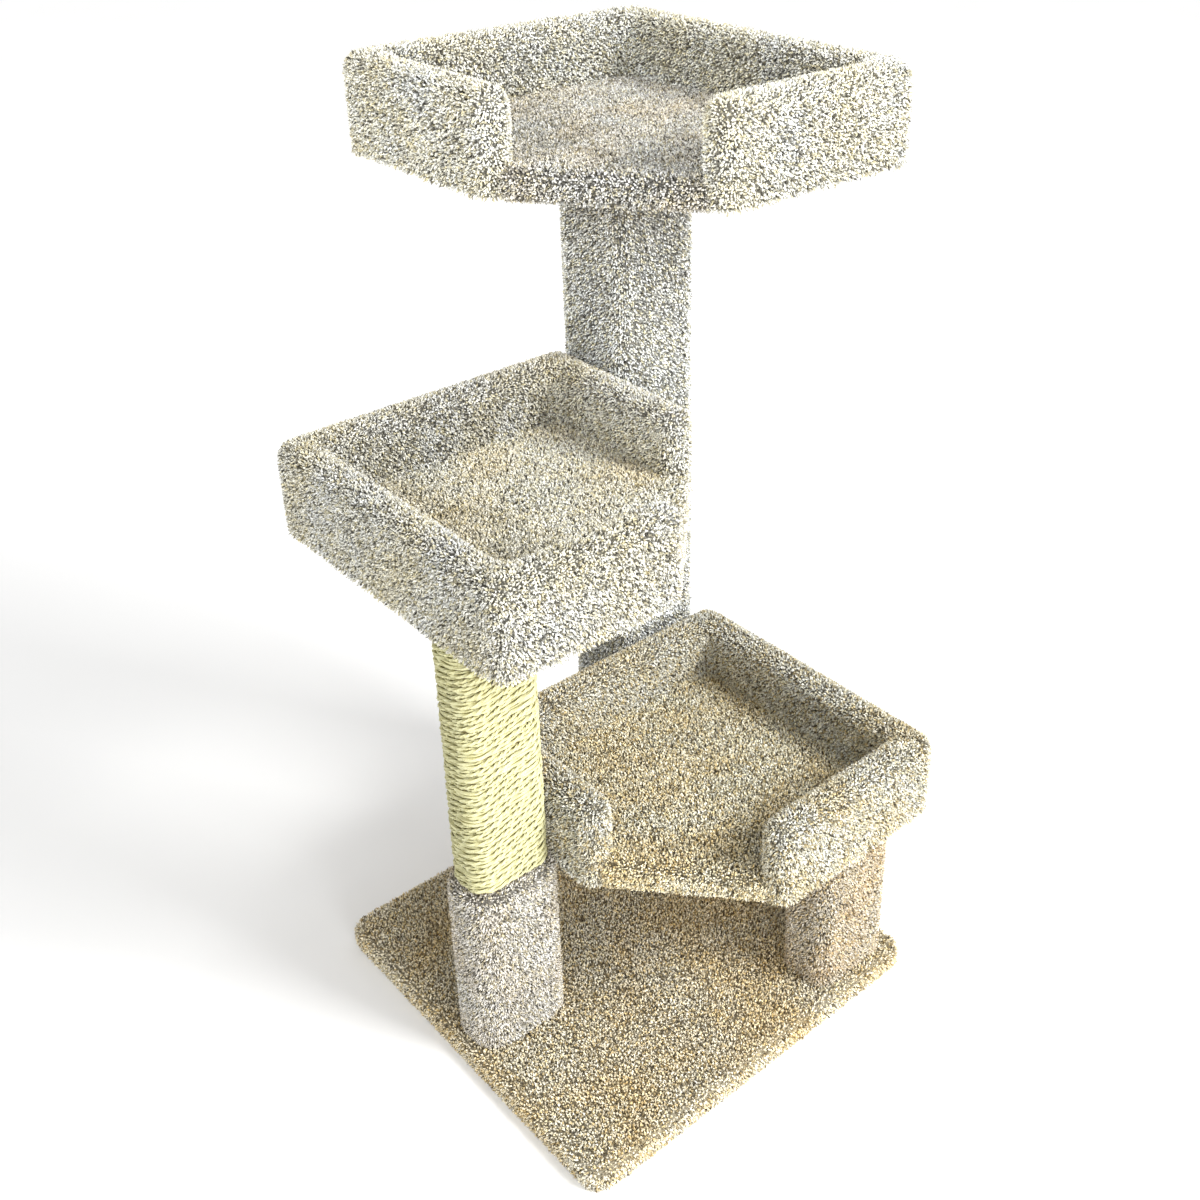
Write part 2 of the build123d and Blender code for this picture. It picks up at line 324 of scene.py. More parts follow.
def scatterNodes(name, seed, settings, gap, mark):
    # geometry nodes: points on the skin's faces, a leaning tuft on each
    tree = bpy.data.node_groups.new(name, "GeometryNodeTree")
    tree.interface.new_socket(name="Geometry", in_out="INPUT", socket_type="NodeSocketGeometry")
    tree.interface.new_socket(name="Geometry", in_out="OUTPUT", socket_type="NodeSocketGeometry")
    nodes, links = tree.nodes, tree.links
    skinIn = nodes.new("NodeGroupInput")
    pileOut = nodes.new("NodeGroupOutput")

    lengthHere = nodes.new("GeometryNodeInputNamedAttribute")
    lengthHere.data_type = "FLOAT"
    lengthHere.inputs["Name"].default_value = mark
    covered = nodes.new("FunctionNodeCompare")
    covered.data_type = "FLOAT"
    covered.operation = "GREATER_THAN"
    links.new(lengthHere.outputs["Attribute"], covered.inputs[0])
    covered.inputs[1].default_value = settings["least"]

    points = nodes.new("GeometryNodeDistributePointsOnFaces")
    points.distribute_method = "POISSON"
    links.new(skinIn.outputs[0], points.inputs["Mesh"])
    links.new(covered.outputs["Result"], points.inputs["Selection"])
    points.inputs["Distance Min"].default_value = gap
    points.inputs["Density Max"].default_value = settings["mostPerArea"]
    points.inputs["Seed"].default_value = seed

    def randomNode(kind, low, high, shift):
        node = nodes.new("FunctionNodeRandomValue")
        node.data_type = kind
        sockets = [s for s in node.inputs if s.enabled and s.name in ("Min", "Max")]
        sockets[0].default_value, sockets[1].default_value = low, high
        node.inputs["Seed"].default_value = seed + shift
        return [s for s in node.outputs if s.enabled][0]

    def addNode(first, second):
        node = nodes.new("ShaderNodeVectorMath")
        node.operation = "ADD"
        links.new(first, node.inputs[0])
        if isinstance(second, tuple):
            node.inputs[1].default_value = second
        else:
            links.new(second, node.inputs[1])
        return node.outputs[0]

    wander = settings["wander"]
    lean = addNode(points.outputs["Normal"],
                   randomNode("FLOAT_VECTOR", (-wander,) * 3, (wander,) * 3, 1))
    lean = addNode(lean, (0, 0, -settings["droop"]))
    drift = nodes.new("ShaderNodeTexNoise")
    drift.inputs["Scale"].default_value = settings["driftScale"]
    drift.inputs["Detail"].default_value = settings["driftDetail"]
    centred = nodes.new("ShaderNodeVectorMath")
    centred.operation = "MULTIPLY_ADD"
    links.new(drift.outputs["Color"], centred.inputs[0])
    centred.inputs[1].default_value = (settings["drift"],) * 3
    centred.inputs[2].default_value = (-settings["drift"] / 2,) * 3
    lean = addNode(lean, centred.outputs[0])

    stand = nodes.new("FunctionNodeAlignRotationToVector")
    stand.axis = "Z"
    links.new(lean, stand.inputs["Vector"])
    spin = nodes.new("FunctionNodeRotateRotation")
    spin.rotation_space = "LOCAL"
    links.new(stand.outputs[0], spin.inputs["Rotation"])
    links.new(randomNode("FLOAT_VECTOR", (0, 0, 0), (0, 0, 2 * math.pi), 2),
              spin.inputs["Rotate By"])

    longer = nodes.new("ShaderNodeMath")
    longer.operation = "MULTIPLY"
    links.new(randomNode("FLOAT", *settings["lengthSpread"], 3), longer.inputs[0])
    links.new(lengthHere.outputs["Attribute"], longer.inputs[1])
    widths = [settings["fine"] * share for share in settings["widthSpread"]]
    wider = randomNode("FLOAT", *widths, 4)
    size = nodes.new("ShaderNodeCombineXYZ")
    links.new(wider, size.inputs[0])
    links.new(wider, size.inputs[1])
    links.new(longer.outputs[0], size.inputs[2])

    shape = nodes.new("GeometryNodeObjectInfo")
    shape.inputs["Object"].default_value = tuftShape
    tufts = nodes.new("GeometryNodeInstanceOnPoints")
    links.new(points.outputs["Points"], tufts.inputs["Points"])
    links.new(shape.outputs["Geometry"], tufts.inputs["Instance"])
    links.new(spin.outputs[0], tufts.inputs["Rotation"])
    links.new(size.outputs[0], tufts.inputs["Scale"])
    real = nodes.new("GeometryNodeRealizeInstances")
    links.new(tufts.outputs[0], real.inputs[0])
    links.new(real.outputs[0], pileOut.inputs[0])
    return tree


def settleOrder(piece):
    # points and faces in the same order on every run, so that the tufts fall the same
    mesh = piece.data
    spots = [tuple(round(part, 6) for part in point.co) for point in mesh.vertices]
    order = sorted(range(len(spots)), key=lambda number: spots[number])
    rank = {old: new for new, old in enumerate(order)}
    rings = []
    for face in mesh.polygons:
        ring = [rank[number] for number in face.vertices]
        start = ring.index(min(ring))
        rings.append(tuple(ring[start:] + ring[:start]))
    settled = bpy.data.meshes.new(piece.name)
    settled.from_pydata([spots[number] for number in order], [], sorted(rings))
    piece.data = settled


def markFaces(mesh, name, values):
    marks = mesh.attributes.new(name, "FLOAT", "FACE")
    marks.data.foreach_set("value", values)


def growPile(skin, lengthOf, seed, material, **changes):
    # lengthOf(centre, normal) gives the tufts' length on a face, 0 for none
    settings = {**pileSet, **changes}
    settleOrder(skin)
    mesh = skin.data
    lengths = [lengthOf(face.center, face.normal) for face in mesh.polygons]
    rounded = [max(map(abs, face.normal)) < settings["flatter"] for face in mesh.polygons]
    markFaces(mesh, "flatPile", [length * (not bent) for length, bent in zip(lengths, rounded)])
    markFaces(mesh, "bentPile", [length * bent for length, bent in zip(lengths, rounded)])
    pickOnly(skin)
    bpy.ops.object.shade_smooth_by_angle(angle=math.radians(settings["smoothAngle"]))
    openEdit(skin)
    bpy.ops.mesh.select_all(action="SELECT")
    bpy.ops.uv.smart_project(island_margin=0.02)
    closeEdit()
    mesh.uv_layers[0].name = "OFBake"

    piles = []
    neater = {key: settings[key] * settings["neat"] for key in ("wander", "drift")}
    for mark, gap, shift, ways in (("flatPile", settings["gap"], 0, {}),
                                   ("bentPile", settings["tightGap"], settings["bentShift"], neater)):
        pile = skin.copy()
        pile.data = mesh.copy()
        bpy.context.scene.collection.objects.link(pile)
        scatter = pile.modifiers.new("scatterTufts", "NODES")
        scatter.node_group = scatterNodes(skin.name + mark, seed + shift, {**settings, **ways},
                                          gap, mark)
        applyAll(pile)
        piles.append(pile)
    pickOnly(piles[0])
    piles[1].select_set(True)
    bpy.ops.object.join()
    pile = piles[0]

    # each tuft: a tone of its own, how far up the tuft a point is, and a cell of the map
    tuft = tuftShape.data
    perTuft = len(tuft.vertices)
    count = len(pile.data.vertices) // perTuft
    draw = np.random.default_rng(seed)
    tone = pile.data.attributes.new("tone", "FLOAT", "POINT")
    tone.data.foreach_set("value", np.repeat(draw.random(count), perTuft).astype(np.float32))
    up = np.array([point.co.z for point in tuft.vertices]) / pileSet["height"]
    rise = pile.data.attributes.new("rise", "FLOAT", "POINT")
    rise.data.foreach_set("value", np.tile(up, count).astype(np.float32))
    skinShare = settings["skinShare"]
    side = math.ceil(math.sqrt(count))
    cells = np.arange(count)
    cell = np.stack([cells % side, cells // side], 1)
    places = (cell[:, None, :] + tuftMap()[None]) / side * (1, 1 - skinShare)
    while pile.data.uv_layers:
        pile.data.uv_layers.remove(pile.data.uv_layers[0])
    layer = pile.data.uv_layers.new(name="OFBake")
    layer.data.foreach_set("uv", places.reshape(-1).astype(np.float32))
    layer = mesh.uv_layers["OFBake"]
    flatSkin = np.zeros(len(mesh.loops) * 2, np.float32)
    layer.data.foreach_get("uv", flatSkin)
    flatSkin[1::2] = 1 - skinShare + flatSkin[1::2] * skinShare
    layer.data.foreach_set("uv", flatSkin)

    for mark, value in settings["skinMarks"].items():
        plain = mesh.attributes.new(mark, "FLOAT", "POINT")
        plain.data.foreach_set("value", np.full(len(mesh.vertices), value, np.float32))

    pickOnly(skin)
    pile.select_set(True)
    bpy.ops.object.join()
    skin.data.materials.clear()
    skin.data.materials.append(material)
    for mark in ("flatPile", "bentPile"):
        skin.data.attributes.remove(skin.data.attributes[mark])
    print(skin.name, count, "tufts,", len(skin.data.polygons), "faces")


warmYarn = [
    (0.00, (0.080, 0.070, 0.055)),
    (0.06, (0.330, 0.280, 0.190)),
    (0.14, (0.800, 0.660, 0.390)),
    (0.30, (0.930, 0.870, 0.680)),
    (0.55, (0.955, 0.945, 0.890)),
    (1.00, (0.985, 0.985, 0.975)),
]
paleYarn = [
    (0.00, (0.080, 0.075, 0.065)),
    (0.06, (0.350, 0.330, 0.280)),
    (0.14, (0.840, 0.770, 0.540)),
    (0.30, (0.930, 0.905, 0.800)),
    (0.55, (0.950, 0.950, 0.930)),
    (1.00, (0.980, 0.985, 0.985)),
]


yarnSet = {
    "cloud": (11.0, 5.0),    # scale and detail of each noise
    "fibre": (520.0, 2.0),
    # painted shade: spots of darker yarn where tufts bunch together
    "bunch": (260.0, 1.0),
    "bunchWarmth": 1.04,
    # tint of the painted shade at the roots
    "rootTone": (1.0, 0.97, 0.93),
    "halfway": 0.45,         # how much of the painted shade at the root is gone halfway up
    "roughness": (0.82, 0.97),
    "specular": 0.2,
    "sheen": 0.15,
    "root": 0.15,            # brightness of the painted shade at the root, if the carpet has none of its own
}
black, white = (0, 0, 0), (1, 1, 1)


def carpetMaterial(name, yarnTones, tintAndPaintedLight, patch, grain, root=yarnSet["root"]):
    # a tone for each tuft, cloudy patches, fine fibre, painted shade where tufts bunch, and painted
    # shade towards the roots
    material, nodes, links, shader = newMaterial(name)
    tone, rise = attributeNode(nodes, "tone"), attributeNode(nodes, "rise")
    yarn = rampNode(nodes, links, tone, yarnTones)
    cloud = rampNode(nodes, links, noiseNode(nodes, links, *yarnSet["cloud"]),
                     [(0.38, black), (0.72, white)])
    patched = mixNode(nodes, links, "MULTIPLY", 1.0, yarn, patch)
    yarn = mixNode(nodes, links, "MIX", cloud, yarn, patched)
    # the tint is partly painted light and shade: it brightens or darkens a whole piece for how light
    # falls on it
    yarn = mixNode(nodes, links, "MULTIPLY", 1.0, yarn, tintAndPaintedLight)
    fibre = rampNode(nodes, links, noiseNode(nodes, links, *yarnSet["fibre"]),
                     [(0.36, (0.42, 0.39, 0.34)), (0.48, white)])
    yarn = mixNode(nodes, links, "MULTIPLY", 1.0, yarn, fibre)
    # painted shade between bunched tufts, as deep as the carpet's grain
    bunchShaded = (1 - grain, 1 - grain, 1 - grain * yarnSet["bunchWarmth"])
    bunch = rampNode(nodes, links, noiseNode(nodes, links, *yarnSet["bunch"]),
                     [(0.36, bunchShaded), (0.50, white)])
    yarn = mixNode(nodes, links, "MULTIPLY", 1.0, yarn, bunch)
    # painted shade: the yarn darkens towards the roots, where the tufts shade each other
    dark = tuple(root * share for share in yarnSet["rootTone"])
    halfway = tuple(yarnSet["halfway"] + (1 - yarnSet["halfway"]) * c for c in dark)
    depth = rampNode(nodes, links, rise, [(0.0, dark), (0.35, halfway), (0.72, white)])
    yarn = mixNode(nodes, links, "MULTIPLY", 1.0, yarn, depth)
    links.new(yarn, shader.inputs["Base Color"])
    rough = nodes.new("ShaderNodeMapRange")
    links.new(tone, rough.inputs["Value"])
    rough.inputs["To Min"].default_value, rough.inputs["To Max"].default_value = yarnSet["roughness"]
    links.new(rough.outputs["Result"], shader.inputs["Roughness"])
    shader.inputs["Specular IOR Level"].default_value = yarnSet["specular"]
    shader.inputs["Sheen Weight"].default_value = yarnSet["sheen"]
    return material


# yarn, tint (the yarn's own colour, partly raised or lowered as painted light and shade), colour of
# the patches, depth of the painted shade between bunched tufts and, for some, brightness of the
# painted shade at the root
carpetSet = {
    "base": (warmYarn, (1.05, 1.01, 0.89), (1.0, 0.90, 0.71), 0.32, 0.27),
    "lowerFloor": (warmYarn, (1.05, 1.04, 0.94), (1.0, 0.895, 0.70), 0.50, 0.20),
    "middleFloor": (paleYarn, (1.0, 1.0, 0.94), (1.0, 0.93, 0.80), 0.45),
    "topFloor": (paleYarn, (0.84, 0.84, 0.83), (1.0, 0.92, 0.80), 0.65),
    "lowerRim": (warmYarn, (0.875, 0.88, 0.84), (1.0, 0.93, 0.78), 0.42),
    "middleRim": (paleYarn, (0.90, 0.91, 0.90), (1.0, 0.945, 0.79), 0.30),
    "topRim": (paleYarn, (0.985, 1.0, 0.995), (1.0, 0.95, 0.81), 0.22),
    "boot": (paleYarn, (0.91, 0.895, 0.87), (1.0, 0.93, 0.84), 0.45),
    "short": (warmYarn, (0.84, 0.79, 0.71), (1.0, 0.88, 0.72), 0.50),
    "tall": (paleYarn, (1.02, 1.05, 1.07), (1.0, 0.99, 0.96), 0.58, 0.12),
}
postCarpets = ("short", "tall")
carpets = {}
for key, row in carpetSet.items():
    carpets[key] = carpetMaterial(key + ("PostCarpet" if key in postCarpets else "Carpet"), *row)


def dress(piece, slotName, *nodeNames):
    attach(piece, "root")
    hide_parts(*nodeNames)


# the base carpet goes over the board, down its edge and under it
baseSet = {
    "proud": 0.001,          # how much the tufts stand over the carpet's face
    "corner": 0.022,
    "topEdge": 0.006,
    "topBand": 0.001,
    "edgeBand": 0.012,       # faces this near the outline have tufts
    "hemWidth": 0.040,
    "hemUnder": 0.0004,
    "floor": 0.0003,         # nothing hangs lower
    "boardCorner": 0.0055,
    "boardFit": (0.0004, 0.00005, 0.0002),   # room round the board, under it and over it
    "seed": 11,
    "pile": {"gap": 0.00217, "fine": 0.9},
}


def makeBaseCarpet():
    inset = pileSet["height"] - baseSet["proud"]
    fitRound, fitUnder, fitOver = baseSet["boardFit"]
    low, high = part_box("base_carpet")
    boardLow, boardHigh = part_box("base_board")
    low = Vector((low.x + inset, low.y + inset, baseSet["hemUnder"]))
    high = Vector((high.x - inset, high.y - inset, high.z - inset))
    skin = blockFromBox("baseCarpet", low, high)
    openEdit(skin)
    middle = (low + high) / 2
    chooseFaces(skin, lambda c, n: looksDown(n))
    bpy.ops.mesh.inset(thickness=baseSet["hemWidth"])          # the hem under the board
    pushFaces((0, 0, boardLow.z - fitUnder - low.z))
    inside = high.x - low.x - 2 * baseSet["hemWidth"]
    pushFaces((0, 0, 0))
    wide = (boardHigh.x - boardLow.x + fitRound) / inside
    bpy.ops.transform.resize(value=(wide, wide, 1), center_override=(middle.x, middle.y, boardLow.z))
    pushFaces((0, 0, boardHigh.z + fitOver - boardLow.z))      # room for the board
    reach = high.x - middle.x - hair
    chooseEdges(skin, lambda a, b: isUpright(a, b) and abs(a.x - middle.x) < reach)
    bpy.ops.mesh.bevel(offset=baseSet["boardCorner"], segments=3)
    chooseEdges(skin, lambda a, b: isUpright(a, b) and abs(a.x - middle.x) > reach)
    bpy.ops.mesh.bevel(offset=baseSet["corner"], segments=6)
    chooseEdges(skin, lambda a, b: isAtTop(a, b, high.z))
    bpy.ops.mesh.bevel(offset=baseSet["topEdge"], segments=3)
    outwardNormals()
    closeEdit()

    def lengthOf(centre, normal):
        edge = min(centre.x - low.x, high.x - centre.x, centre.y - low.y, high.y - centre.y)
        if normal.z < -mostly:
            return 0.0                                          # the hem lies flat on the floor
        return 1.0 if centre.z > high.z - baseSet["topBand"] or edge < baseSet["edgeBand"] else 0.0

    growPile(skin, lengthOf, baseSet["seed"], carpets["base"], **baseSet["pile"])
    for point in skin.data.vertices:
        point.co.z = max(point.co.z, baseSet["floor"])
    dress(skin, "base_carpet", "base_carpet")


makeBaseCarpet()


# post sleeves are tubes of carpet round the cores
shortPile = {"gap": 0.0017, "tightGap": 0.0016, "fine": 0.84, "drift": 0.4}
tallPile = {"gap": 0.0029, "tightGap": 0.0021, "droop": 0.5, "wander": 0.16, "drift": 0.4}
sleeveSet = {
    # "over" is how far an open top stands over the node's, to meet the rope
    "front_boot": {"core": "front_core", "carpet": "boot", "corner": 0.034, "topEdge": 0.006,
                   "over": 0.0045, "seed": 21, "pile": shortPile},
    "short_sleeve": {"core": "short_core", "carpet": "short", "corner": 0.021, "topEdge": 0,
                     "over": 0, "seed": 22, "pile": shortPile},
    "tall_sleeve": {"core": "tall_core", "carpet": "tall", "corner": 0.021, "topEdge": 0,
                    "over": 0, "seed": 23, "pile": tallPile},
    "coreFit": 0.0005,
}


def makeSleeve(node, name):
    settings = sleeveSet[node]
    inset = pileSet["height"]
    low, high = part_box(node)
    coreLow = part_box(settings["core"])[0]
    low = Vector((low.x + inset, low.y + inset, low.z))
    high = Vector((high.x - inset, high.y - inset, high.z + settings["over"]))
    skin = blockFromBox(name, low, high)
    openEdit(skin, "EDGE")
    chooseEdges(skin, isUpright)
    bpy.ops.mesh.bevel(offset=settings["corner"], segments=6)
    if settings["topEdge"]:
        chooseEdges(skin, lambda a, b: isAtTop(a, b, high.z))
        bpy.ops.mesh.bevel(offset=settings["topEdge"], segments=3)
    chooseFaces(skin, lambda c, n: abs(n.z) > squarely)
    thick = min(coreLow.x - low.x, coreLow.y - low.y)
    bpy.ops.mesh.inset(thickness=thick - settings["topEdge"] - sleeveSet["coreFit"])
    bpy.ops.mesh.bridge_edge_loops()
    outwardNormals()
    closeEdit()
    middle = (low + high) / 2

    def lengthOf(centre, normal):
        away = Vector((centre.x - middle.x, centre.y - middle.y, 0))
        if abs(normal.z) < mostly:
            return 1.0 if away.dot(normal) > 0 else 0.0
        return 1.0 if normal.z > 0 and settings["topEdge"] else 0.0

    growPile(skin, lengthOf, settings["seed"], carpets[settings["carpet"]], **settings["pile"])
    dress(skin, "post_carpet", node)


makeSleeve("front_boot", "frontBoot")
makeSleeve("short_sleeve", "shortSleeve")
makeSleeve("tall_sleeve", "tallSleeve")


# each perch has a padded rim and a floor mat, laid out from the open corner
perchSet = {
    "wall": 0.055,
    "corner": 0.028,
    "pocketCorner": 0.012,
    "topEdge": 0.0185,
    "bottomEdge": 0.004,
    "hemUnder": 0.0026,
    "hemWidth": 0.040,
    "hemPile": {"rim": 0.6, "mat": 0.9},   # shorter tufts under the board
    "fringe": 1.35,          # longer tufts over the bottom edge
    "buried": 0.7,           # share of the wall from where on a face looks into the perch
    "lookAhead": 0.05,
    "boardUnder": 0.003,
    "boardTop": 0.022,
    "boardFit": (0.00005, 0.0002, 0.0003),   # room under the board, over it and at its edge
    "matOverlap": 0.001,     # how far the mat goes into the rim's pile
    "setback": 0.018,        # the lip lies this far behind the wall ends
    "carpet": 0.018,
    "lipEdge": 0.017,
    "matTop": 0.040,
    "matPile": {"gap": 0.0018, "tightGap": 0.0017, "fine": 0.87},
    "rimPile": {"gap": 0.0020, "tightGap": 0.0018, "fine": 0.93},
    # "sag" is how far the hem hangs at the second wall's end, and how far along that reaches
    "lower": {"ends": (0.158, 0.200), "turned": False, "seed": 31, "sag": (0.009, 0.18),
              "rimCarpet": "lowerRim", "matCarpet": "lowerFloor"},
    "middle": {"ends": (0.188, 0.188), "turned": True, "seed": 41,
               "rimCarpet": "middleRim", "matCarpet": "middleFloor"},
    "top": {"ends": (0.164, 0.224), "turned": False, "seed": 51,
            "rimCarpet": "topRim", "matCarpet": "topFloor",
            "rimPile": {"gap": 0.0022, "tightGap": 0.0018}},
}


def arcPoints(centre, radius, start, end, steps):
    angles = [math.radians(start + (end - start) * step / steps) for step in range(steps + 1)]
    return [(centre[0] + radius * math.cos(a), centre[1] + radius * math.sin(a)) for a in angles]


def perchFrame(perch):
    # the rim's box, its sizes along and across, and the way from plan to frame
    settings = perchSet[perch]
    low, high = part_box(perch + "_rim")
    if settings["turned"]:
        sizes = (high.y - low.y, high.x - low.x)
        return low, high, sizes, lambda x, y: (high.x - y, low.y + x)
    return low, high, (high.x - low.x, high.y - low.y), lambda x, y: (low.x + x, low.y + y)


def planInside(perch, centre, normal, far):
    # a point this far off a face, in the perch's own plan
    low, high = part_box(perch + "_rim")
    x, y = centre.x + normal.x * far - low.x, centre.y + normal.y * far - low.y
    if perchSet[perch]["turned"]:
        return y, high.x - low.x - x
    return x, y


def sagHem(skin, perch):
    drop, reach = perchSet[perch].get("sag", (0, 1))
    half = perchSet["wall"] / 2
    low, _, _, toFrame = perchFrame(perch)
    end = Vector(toFrame(half, perchSet[perch]["ends"][1] + half))
    for point in skin.data.vertices:
        near = max(0, 1 - (point.co.xy - end).length / reach)
        deep = min(1, max(0, 1 - (point.co.z - low.z) / perchSet["matTop"]))
        point.co.z -= drop * near * deep


def makeRim(perch):
    settings = perchSet[perch]
    low, high, (sizeX, sizeY), toFrame = perchFrame(perch)
    inset = pileSet["height"]
    wall, half = perchSet["wall"], perchSet["wall"] / 2
    corner, pocket = perchSet["corner"], perchSet["pocketCorner"]
    openX, openY = (end + half for end in settings["ends"])
    farX, farY = sizeX - wall - pocket, sizeY - wall - pocket
    plan = (
        arcPoints((sizeX - corner, corner), corner - inset, -90, 0, 6)
        + arcPoints((sizeX - corner, sizeY - corner), corner - inset, 0, 90, 6)
        + arcPoints((corner, sizeY - corner), corner - inset, 90, 180, 6)
        + arcPoints((half, openY), half - inset, 180, 360, 14)
        + arcPoints((wall + pocket, farY), pocket + inset, 180, 90, 5)
        + arcPoints((farX, farY), pocket + inset, 90, 0, 5)
        + arcPoints((farX, wall + pocket), pocket + inset, 0, -90, 5)
        + arcPoints((openX, half), half - inset, 90, 270, 14)
    )
    floorZ, topZ = low.z + perchSet["hemUnder"], high.z - inset
    skin = blockFromOutline(perch + "Rim", [toFrame(x, y) for x, y in plan], floorZ, topZ)
    matZ = low.z + perchSet["matTop"] - inset
    openEdit(skin, "EDGE")
    chooseEdges(skin, lambda a, b: isAtTop(a, b, topZ))
    bpy.ops.mesh.bevel(offset=perchSet["topEdge"], segments=5, clamp_overlap=False)
    chooseEdges(skin, lambda a, b: max(a.z, b.z) < floorZ + hair)
    bpy.ops.mesh.bevel(offset=perchSet["bottomEdge"], segments=2, clamp_overlap=False)
    bpy.ops.mesh.select_all(action="SELECT")
    bpy.ops.mesh.bisect(plane_co=(0, 0, matZ), plane_no=(0, 0, 1))   # the mat's level on the inside
    outwardNormals()
    closeEdit()

    def lengthOf(centre, normal):
        if looksDown(normal):
            return perchSet["hemPile"]["rim"]
        if normal.z < -0.1:
            return perchSet["fringe"]
        x, y = planInside(perch, centre, normal, perchSet["lookAhead"])
        deep = wall * perchSet["buried"]
        buried = deep < x < sizeX - deep and deep < y < sizeY - deep
        return 0.0 if buried and centre.z < matZ else 1.0

    sagHem(skin, perch)
    growPile(skin, lengthOf, settings["seed"], carpets[settings["rimCarpet"]],
             **{**perchSet["rimPile"], **settings.get("rimPile", {})})
    dress(skin, "rim_carpet", perch + "_rim")


def makeMat(perch):
    settings = perchSet[perch]
    low, _, (sizeX, sizeY), toFrame = perchFrame(perch)
    inset = pileSet["height"]
    fitUnder, fitOver, fitEdge = perchSet["boardFit"]
    half, edge = perchSet["wall"] / 2, perchSet["wall"] - inset + perchSet["matOverlap"]
    lipX, lipY = (end + perchSet["setback"] for end in settings["ends"])
    slant = math.hypot(1 / lipX, 1 / lipY)
    backX, backY = lipX * (1 + inset * slant), lipY * (1 + inset * slant)
    openX, openY = (end + half for end in settings["ends"])
    plan = [
        (backX * (1 - half / backY), half), (openX, half), (openX, edge), (sizeX - edge, edge),
        (sizeX - edge, sizeY - edge), (edge, sizeY - edge), (edge, openY), (half, openY),
        (half, backY * (1 - half / backX)),
    ]
    floorZ, topZ = low.z + perchSet["boardTop"] + fitOver, low.z + perchSet["matTop"] - inset
    skin = blockFromOutline(perch + "Mat", [toFrame(x, y) for x, y in plan], floorZ, topZ)
    start = Vector((*toFrame(0, 0), 0))
    out = start - Vector((*toFrame(1 / lipX, 1 / lipY), 0))
    out.normalize()                                             # out over the lip
    lipPoint = Vector((*toFrame(backX, 0), 0))
    stripPoint = lipPoint - out * (perchSet["carpet"] - inset - fitEdge)
    openEdit(skin)
    chooseFaces(skin, lambda c, n: looksDown(n))
    bpy.ops.mesh.bisect(plane_co=stripPoint, plane_no=out)
    hemTop, hemLow = low.z + perchSet["boardUnder"] - fitUnder, low.z + perchSet["hemUnder"]
    chooseFaces(skin, lambda c, n: looksDown(n) and (c - stripPoint).dot(out) > 0)
    pushFaces((0, 0, hemTop - floorZ))                          # down over the board's edge
    pushFaces((0, 0, hemLow - hemTop))
    chooseFaces(skin, lambda c, n: n.dot(out) < -squarely and hemLow < c.z < hemTop)
    pushFaces(tuple(-out * perchSet["hemWidth"]))               # and under it
    chooseFaces(skin, lambda c, n: n.dot(out) > squarely)
    bpy.ops.mesh.dissolve_faces()
    chooseEdges(skin, lambda a, b: isAtTop(a, b, topZ)
                and abs((a - lipPoint).dot(out)) < hair and abs((b - lipPoint).dot(out)) < hair)
    bpy.ops.mesh.bevel(offset=perchSet["lipEdge"], segments=6, clamp_overlap=False)
    outwardNormals()
    closeEdit()

    def lengthOf(centre, normal):
        if looksDown(normal) and centre.z < hemTop:
            return perchSet["hemPile"]["mat"]
        over = normal.dot(out) > 0.1 and (centre - lipPoint).dot(out) > -perchSet["lipEdge"]
        return 1.0 if over or normal.z > 0.5 else 0.0

    sagHem(skin, perch)
    growPile(skin, lengthOf, settings["seed"] + 1, carpets[settings["matCarpet"]],
             **perchSet["matPile"])
    dress(skin, "floor_carpet", perch + "_mat")


for perchName in ("lower", "middle", "top"):
    makeRim(perchName)
    makeMat(perchName)


# the sisal is three-strand rope, wound close round the front post
sisalSet = {
    "rope": 0.0102,
    "strand": 0.0058,
    "lay": 0.085,            # length of one twist
    "loose": 0.8,            # how unevenly the twist runs
    "looseKnots": 200,
    "wobble": 0.07,          # how unevenly thick a strand is
    "wobbleKnots": 500,
    "strands": 3,
    "press": 0.0004,         # how far the strands stand out over the rope's radius
    "yarnTwist": 2.2,        # turns of the yarns in a strand for each turn of the strands
    "turns": 19,
    "lobes": 4,              # yarns in a strand
    "groove": 0.74,          # radius in the grooves between yarns, share of the strand's
    "step": 0.0040,
    "coreCorner": 0.020,
    "fit": 0.0003,
    "mapEdge": 0.05,         # gap at the edges of a strip of the map
    "smoothAngle": 70,       # degrees
    "seed": 61,
}


